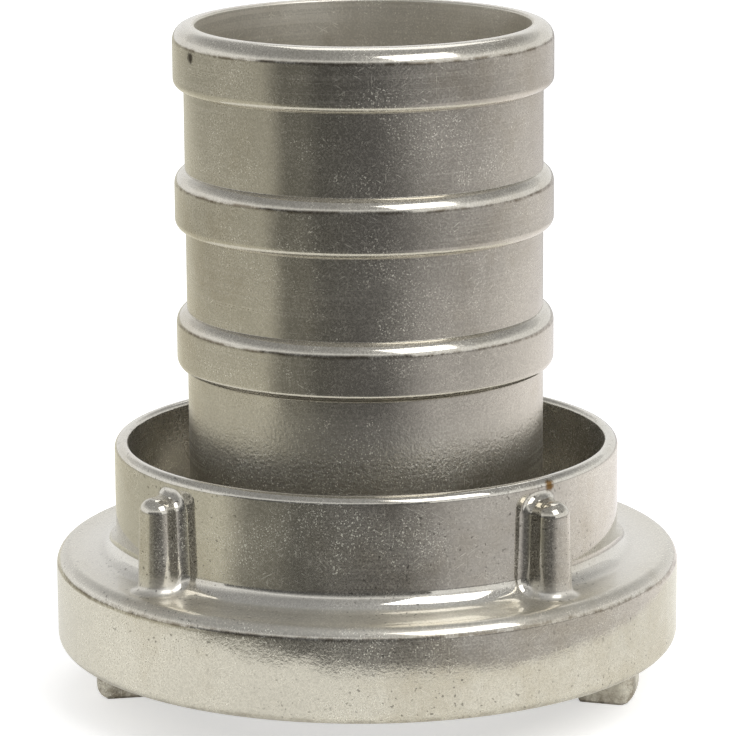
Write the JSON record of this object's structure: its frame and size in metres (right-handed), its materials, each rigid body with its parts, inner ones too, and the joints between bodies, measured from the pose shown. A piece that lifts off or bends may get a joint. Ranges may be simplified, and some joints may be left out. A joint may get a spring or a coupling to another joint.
{
  "type": "quarter turn fire hose coupling",
  "caption": "Hose coupling half with hooked lugs on a swivelling head, a skirt with wrench ribs and a ribbed tail for a 75 mm hose.",
  "frame": {"origin": "on the waterway's axis, at the floor under the two lug feet", "axes": "+Z along the waterway towards the hose; the two lugs lie on the X axis"},
  "size_m": [0.126, 0.126, 0.1367],
  "materials": {
    "head_alloy": "forged and blasted alloy, worn bright",
    "tail_alloy": "turned alloy, handled and lightly scratched",
    "ring_steel": "drawn spring wire",
    "seal_rubber": "matt black rubber"
  },
  "bodies": {
    "tail": {"hose_tail": "tail_alloy", "snap_ring": "ring_steel", "face_seal": "seal_rubber"},
    "head": {"coupling_head": "head_alloy"}
  },
  "joints": [
    {"name": "head_swivel", "type": "hinge", "parent": "tail", "child": "head", "pos_m": [0, 0, 0.024], "axis": [0, 0, 1], "continuous": true}
  ]
}
